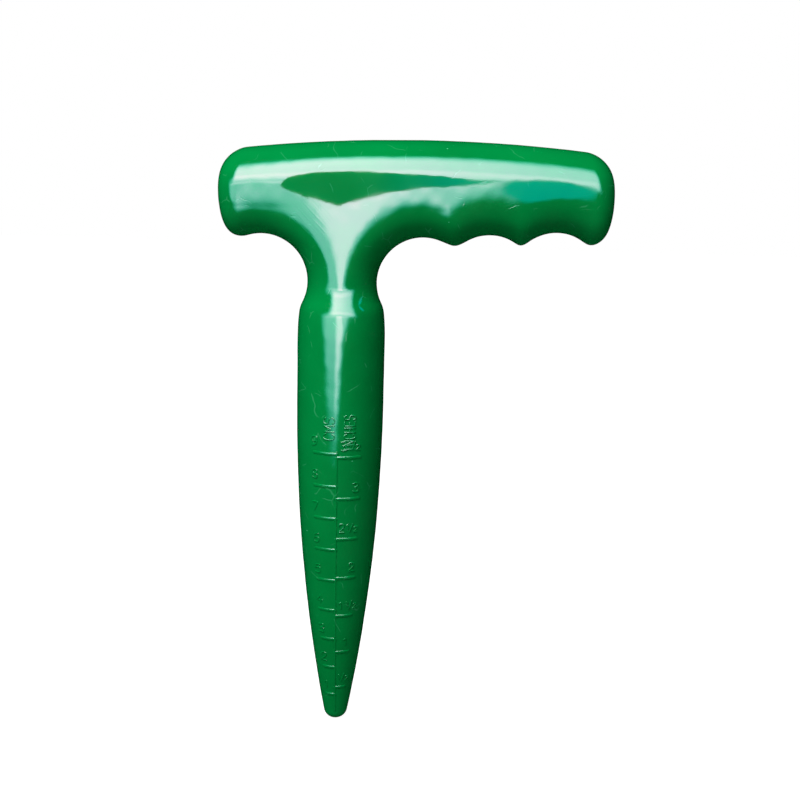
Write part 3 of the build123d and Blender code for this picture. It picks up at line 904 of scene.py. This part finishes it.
    def relief(self, tree: Tree, place: Source, hairlines: Source) -> bpy.types.Node:
        """Relief: a fine grain, the hairlines cut in, and rubbed streaks in the armpit of the short arm.

        Args:
            tree: The material's tree.
            place: Object coordinates.
            hairlines: Where the hairlines are.

        Returns:
            The node that gives the normals.
        """
        grain_scale = 1 / (self.grain_size * MM)
        grain = add_node(tree, "TexNoise", {"Vector": place, "Scale": grain_scale, "Detail": 2.0})
        turn = (0, math.radians(self.rub_turn), 0)
        size = tuple(side * MM for side in self.rub_size)
        along = add_node(
            tree, "Mapping", {"Vector": place, "Rotation": turn, "Scale": size}, vector_type="TEXTURE"
        )
        streaks = add_node(tree, "TexNoise", {"Vector": along, "Scale": 1.0, "Detail": 1.0})
        middle = tuple(v * MM for v in self.rub_place)
        away = add_node(tree, "VectorMath", {0: place, 1: middle}, operation="DISTANCE").outputs["Value"]
        ends, full = (distance * MM for distance in self.rub_reach)
        reach = {"Value": away, "From Min": ends, "From Max": full, "To Max": self.rub_height}
        rubs = add_node(
            tree, "Math", {0: streaks, 1: add_node(tree, "MapRange", reach, **SMOOTH)}, operation="MULTIPLY"
        )
        uncut = add_node(tree, "Math", {0: grain, 1: self.grain_height, 2: rubs}, operation="MULTIPLY_ADD")
        cut = {0: hairlines, 1: self.hairline_height, 2: uncut}
        height = add_node(tree, "Math", cut, operation="MULTIPLY_ADD")
        depth = self.relief_height * MM
        return add_node(tree, "Bump", {"Strength": self.relief_strength, "Distance": depth, "Height": height})


# ---------------------------------------------------------------- studio
@dataclass
class Softbox:
    """A rectangular area light that faces the tool from a direction, and stays out of its reflections.

    Azimuth is measured from the camera's side, positive to the right, and elevation from the horizon.
    """

    name: str
    azimuth: float
    elevation: float
    width: float
    height: float
    watts: float
    distance: float = 700.0

    def build(self, target: Vector) -> None:
        """Places the light round a target.

        Args:
            target: What the light faces, in metres.
        """
        turn, lift = math.radians(self.azimuth), math.radians(self.elevation)
        way = Vector((math.sin(turn) * math.cos(lift), -math.cos(turn) * math.cos(lift), math.sin(lift)))
        lamp = bpy.data.lights.new(self.name, "AREA")
        lamp.shape = "RECTANGLE"
        lamp.size = self.width * MM
        lamp.size_y = self.height * MM
        lamp.energy = self.watts
        made = bpy.data.objects.new(self.name, lamp)
        made.location = target + way * self.distance * MM
        made.rotation_euler = (-way).to_track_quat("-Z", "Y").to_euler()
        made.visible_camera = False
        made.visible_glossy = False
        bpy.context.scene.collection.objects.link(made)


@dataclass(frozen=True)
class Fade:
    """A soft edge across a flat light.

    Along across * x + up * z, in millimetres, the light goes from one level to another.
    """

    across: float
    up: float
    start: float
    end: float
    before: float = 0.0
    after: float = 1.0


def light_material(name: str, draw: Callable[[Tree], bpy.types.Node]) -> bpy.types.Material:
    """Makes a material from one shader.

    Args:
        name: The material's name.
        draw: Adds the shader's nodes to the material's tree and gives the last of them.

    Returns:
        The material.
    """
    made, tree, shader = new_material(name)
    tree.nodes.remove(shader)
    wire(tree, tree.nodes["Material Output"], {"Surface": draw(tree)})
    return made


def black_card() -> bpy.types.Material:
    """Makes a black that reflects nothing.

    Returns:
        The material.
    """
    made, tree, shader = new_material("black_card")
    wire(tree, shader, {"Base Color": (0.0, 0.0, 0.0, 1), "Roughness": 1.0, "Specular IOR Level": 0.0})
    return made


def gloss_only(made: bpy.types.Object) -> None:
    """Puts an object on the stage where only reflections see it.

    Args:
        made: The object.
    """
    made.visible_camera = False
    made.visible_diffuse = False
    made.visible_shadow = False
    made.visible_transmission = False
    made.visible_volume_scatter = False


@dataclass
class WindowWall:
    """What the gloss mirrors: a wall with two soft windows in front of the tool, for reflections only.

    The wall is a plane at a fixed y. One window is high and one low, and a faint link joins them. Faint
    light is green-blue and full light is nearly white. Two dim shapes close to the handle hide part of it.
    """

    y: float = -270.0
    left: float = -360.0
    right: float = 300.0
    low_edge: float = 1.0
    top: float = 900.0
    strength: float = 28.0
    redness: float = 1.3  # red share at full light; there is none in faint light
    paleness: float = -0.28  # what full light adds to the green share
    blue: float = 0.97
    faint_colour: tuple[float, float, float, float] = (0.0, 0.86, 0.97, 1)
    windows: tuple[tuple[Fade, ...], ...] = (
        (
            Fade(0, 1, 150, 250),
            Fade(0, 1, 860, 420),
            Fade(1, 0, -205, -85),
            Fade(1, 0, 270, 150),
            Fade(1, 0, 200, -90, 0.44, 0.66),
        ),
        (
            Fade(0, 1, -40, 110, 0.06, 0.62),
            Fade(1, 0, -75, -25, 0.5, 1.0),
            Fade(1, 0, 15, 35, 1.0, 0.63),
            Fade(0, 1, 184, 166),
            Fade(1, 0, -360, -170),
            Fade(1, -0.95, -18, -98),
            Fade(0.45, 1, -56, 9),
        ),
        (Fade(1, 0, -420, -120, 0, 0.3), Fade(1, 0, 330, 60), Fade(0, 1, 150, 188), Fade(0, 1, 270, 188)),
    )
    front_y: float = -32.0  # of the dim shapes close to the handle
    front_steps: int = 120  # points along each of the front's edges
    front_glow: float = 0.13  # of the wall's strength, at the front's right end
    front_top: tuple[tuple[float, float], ...] = (  # x and z along the front's upper edge
        (-20.8, 165.2), (-20, 168), (-18, 171.2), (-15, 174.2), (-10, 176.1), (-3, 176.6), (3, 176.1),
        (14, 174.5), (28, 172.5), (46, 170.5),
    )
    front_low: tuple[tuple[float, float], ...] = (  # and along its lower edge
        (-20.8, 164.8), (-20, 162.6), (-18, 161.9), (-8, 161.7), (-2.2, 160.7), (2, 162.2), (8, 163.8),
        (18, 164.9), (28, 166.2), (38, 167.8), (46, 170.2),
    )
    patch_middle: tuple[float, float] = (60.0, 166.0)  # x and z of the faint patch, an ellipse
    patch_half: tuple[float, float] = (18.0, 9.0)
    patch_core: float = 0.65  # share of the ellipse's size inside which it is whole
    patch_room: tuple[float, float] = (20.0, 10.0)  # half the flat shape that carries it
    patch_glow: float = 0.16

    def brightness(self, tree: Tree) -> Source:
        """Adds up the windows, each the product of its soft edges.

        Args:
            tree: The wall's tree.

        Returns:
            The node that gives the brightness, from 0 to 1.
        """
        place = add_node(tree, "TexCoord").outputs["Object"]
        total: Source = 0.0
        for window in self.windows:
            light: Source = 1.0
            for fade in window:
                way = (fade.across / MM, 0, fade.up / MM)
                along = add_node(tree, "VectorMath", {0: place, 1: way}, operation="DOT_PRODUCT")
                reach = {"Value": along.outputs["Value"], "From Min": fade.start, "From Max": fade.end}
                levels = {**reach, "To Min": fade.before, "To Max": fade.after}
                level = add_node(tree, "MapRange", levels, **SMOOTH)
                light = add_node(tree, "Math", {0: light, 1: level}, operation="MULTIPLY")
            total = add_node(tree, "Math", {0: total, 1: light}, operation="ADD")
        return total

    def wall_light(self, tree: Tree) -> bpy.types.Node:
        """The wall's light: brightness k in red k * redness, green 1 + k * paleness and a fixed blue.

        Args:
            tree: The wall's tree.

        Returns:
            The node that gives off the light.
        """
        light = self.brightness(tree)
        red = add_node(tree, "Math", {0: light, 1: self.redness}, operation="MULTIPLY")
        green = add_node(tree, "Math", {0: light, 1: self.paleness, 2: 1.0}, operation="MULTIPLY_ADD")
        colour = add_node(tree, "CombineXYZ", {0: red, 1: green, 2: self.blue})
        power = add_node(tree, "Math", {0: light, 1: self.strength}, operation="MULTIPLY")
        return add_node(tree, "Emission", {"Color": colour, "Strength": power})

    def front_light(self, tree: Tree) -> bpy.types.Node:
        """The front's light: none left of the tool's axis, rising to faint light at its right end.

        Args:
            tree: The front's tree.

        Returns:
            The node that gives off the light.
        """
        split = add_node(tree, "SeparateXYZ", {0: add_node(tree, "TexCoord").outputs["Object"]})
        reach = {"Value": split, "From Min": 0.0, "From Max": self.front_top[-1][0] * MM}
        rising = add_node(tree, "MapRange", {**reach, "To Max": self.front_glow * self.strength}, **SMOOTH)
        return add_node(tree, "Emission", {"Color": self.faint_colour, "Strength": rising})

    def patch_light(self, tree: Tree) -> bpy.types.Node:
        """The patch's light: faint inside an ellipse, and clear beyond the ellipse's soft edge.

        Args:
            tree: The patch's tree.

        Returns:
            The node that gives off the light.
        """
        place = add_node(tree, "TexCoord").outputs["Object"]
        middle = (self.patch_middle[0] * MM, self.front_y * MM, self.patch_middle[1] * MM)
        half = (self.patch_half[0] * MM, 1.0, self.patch_half[1] * MM)
        away = add_node(tree, "VectorMath", {0: place, 1: middle}, operation="SUBTRACT")
        scaled = add_node(tree, "VectorMath", {0: away, 1: half}, operation="DIVIDE")
        radius = add_node(tree, "VectorMath", {0: scaled}, operation="LENGTH").outputs["Value"]
        full = {"Value": radius, "From Min": 1.0, "From Max": self.patch_core}
        share = add_node(tree, "MapRange", full, **SMOOTH)
        glow_power = self.patch_glow * self.strength
        glow = add_node(tree, "Emission", {"Color": self.faint_colour, "Strength": glow_power})
        return add_node(tree, "MixShader", {0: share, 1: add_node(tree, "BsdfTransparent"), 2: glow})

    def flat_shape(
        self, name: str, y: float, x: Array, top: Array, low: Array, material: bpy.types.Material
    ) -> None:
        """Adds a flat shape that lies between two edges, for reflections only.

        Args:
            name: The object's name.
            y: The plane it lies in.
            x: Places across, where the edges are given.
            top: Heights of its upper edge.
            low: Heights of its lower edge.
            material: What it is made of.
        """
        points = np.stack([np.concatenate([x, x]), np.full(2 * len(x), y), np.concatenate([low, top])], -1)
        made = make_mesh(name, points, grid_faces(2, len(x), False))
        made.data.materials.append(material)
        gloss_only(made)

    def build(self) -> None:
        """Adds the wall, the dim front that the handle's middle mirrors, and the faint patch to its right."""
        x = np.array([self.left, self.right])
        wall = light_material("window_light", self.wall_light)
        self.flat_shape("window_wall", self.y, x, 0 * x + self.top, 0 * x + self.low_edge, wall)
        x = np.linspace(self.front_top[0][0], self.front_top[-1][0], self.front_steps)
        top, low = (np.interp(x, *np.transpose(edge)) for edge in (self.front_top, self.front_low))
        front = light_material("front_light", self.front_light)
        self.flat_shape("camera_front", self.front_y, x, top, low, front)
        x = self.patch_middle[0] + np.array([-1.0, 1.0]) * self.patch_room[0]
        z = self.patch_middle[1] + 0 * x
        patch = light_material("patch_light", self.patch_light)
        self.flat_shape("faint_front", self.front_y, x, z + self.patch_room[1], z - self.patch_room[1], patch)


FLAT_SQUARE = np.array([(-1, -1, 0), (1, -1, 0), (1, 1, 0), (-1, 1, 0)], float)


@dataclass
class Studio:
    """Floor, lamps, world and camera."""

    camera_place: tuple[float, float, float] = (19.64, -297.6, 164.58)
    camera_target: tuple[float, float, float] = (17.94, 0.0, 104.03)
    lens: float = 45.44
    sensor: float = 36.0
    roll: float = 1.59  # degrees that the tool leans clockwise in the picture
    floor_size: float = 6000.0
    floor_colour: str = "#A2A2A0"
    floor_glow: float = 0.95  # what the camera sees of it beside its own colour, where 1 is white
    fill: float = 0.23  # the world's light on the tool
    cove_radius: float = 1600.0
    cove_turns: int = 48
    cove_lifts: int = 25
    card_reach: float = 1550.0
    card_height: float = 0.5
    softboxes: tuple[Softbox, ...] = (Softbox("key", -29.0, 51.0, 420.0, 420.0, 8.0),)

    def camera(self) -> None:
        """Adds the camera at the photograph's place and makes it the scene's."""
        data = bpy.data.cameras.new("camera")
        data.lens = self.lens
        data.sensor_width = self.sensor
        data.clip_start = 0.01
        made = bpy.data.objects.new("camera", data)
        place = Vector(self.camera_place) * MM
        made.location = place
        look = (Vector(self.camera_target) * MM - place).to_track_quat("-Z", "Y")
        made.rotation_euler = look.to_euler()
        made.rotation_euler.rotate_axis("Z", math.radians(self.roll))
        bpy.context.scene.collection.objects.link(made)
        bpy.context.scene.camera = made

    def floor(self) -> None:
        """Adds the pale floor, which is white to the camera and keeps the tool's shadow."""
        made = make_mesh("floor", FLAT_SQUARE * self.floor_size / 2, np.array([[0, 1, 2, 3]]))
        material, tree, shader = new_material("pale_floor")
        glow = add_node(tree, "Math", {0: self.seen(tree), 1: self.floor_glow}, operation="MULTIPLY")
        finish = {"Base Color": linear(self.floor_colour), "Roughness": 0.9, "Specular IOR Level": 0.0}
        wire(tree, shader, {**finish, "Emission Color": (1, 1, 1, 1), "Emission Strength": glow})
        made.data.materials.append(material)

    def world(self) -> None:
        """A pale world: soft fill on the tool, white where the camera sees it."""
        world = bpy.data.worlds.new("studio")
        bpy.context.scene.world = world
        world.use_nodes = True
        tree = world.node_tree
        strength = add_node(tree, "MapRange", {"Value": self.seen(tree), "To Min": self.fill})
        wire(tree, tree.nodes["Background"], {"Color": (1, 1, 1, 1), "Strength": strength})

    @staticmethod
    def seen(tree: Tree) -> Source:
        """Tells what is seen, by the camera, gloss or a clear piece, from what only lights the scene.

        Args:
            tree: The tree to add to.

        Returns:
            The node that gives 1 for what is seen, and 0 for the rest.
        """
        rays = add_node(tree, "LightPath").outputs
        total: Source = rays["Is Camera Ray"]
        for kind in ("Is Glossy Ray", "Is Transmission Ray"):
            total = add_node(tree, "Math", {0: total, 1: rays[kind]}, operation="ADD")
        return total

    def dark_cards(self) -> None:
        """Adds black cards that only reflections see, as a photographer sets round a glossy object."""
        turns = np.linspace(0, 2 * math.pi, self.cove_turns + 1)[:-1]
        lifts = np.linspace(-math.pi / 2, math.pi / 2, self.cove_lifts)
        lift, turn = np.meshgrid(lifts, turns, indexing="ij")
        ball = np.stack([np.cos(lift) * np.cos(turn), np.cos(lift) * np.sin(turn), np.sin(lift)], -1)
        points = ball.reshape(-1, 3) * self.cove_radius
        cove = make_mesh("black_cove", points, grid_faces(len(lifts), len(turns), True))
        square = FLAT_SQUARE * self.card_reach + (0, 0, self.card_height)
        card = make_mesh("black_floor_card", square, np.array([[0, 1, 2, 3]]))
        material = black_card()
        for made in (cove, card):
            made.data.materials.append(material)
            gloss_only(made)

    def build(self) -> None:
        """Sets up the whole studio."""
        scene = bpy.context.scene
        scene.view_settings.view_transform = "Standard"
        self.camera()
        self.floor()
        self.world()
        self.dark_cards()
        WindowWall().build()
        for softbox in self.softboxes:
            softbox.build(Vector(self.camera_target) * MM)


def main() -> None:
    """Builds the studio and the tool."""
    logging.basicConfig(level=logging.INFO, format="%(message)s")
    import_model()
    Studio().build()
    form = DibberForm()
    plastic = GlossyPolypropylene().material()
    skin = ShellSkin(form)
    pieces = [skin.build("front_skin", -1), skin.build("rear_skin", 1), DepthScale(form).build("depth_scale")]
    for piece in pieces:
        piece.data.materials.append(plastic)
        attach(piece, "root")
        LOG.info("%s: %d faces", piece.name, len(piece.data.polygons))
    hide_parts("front_shell")
    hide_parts("rear_shell")


if __name__ == "__main__":
    main()
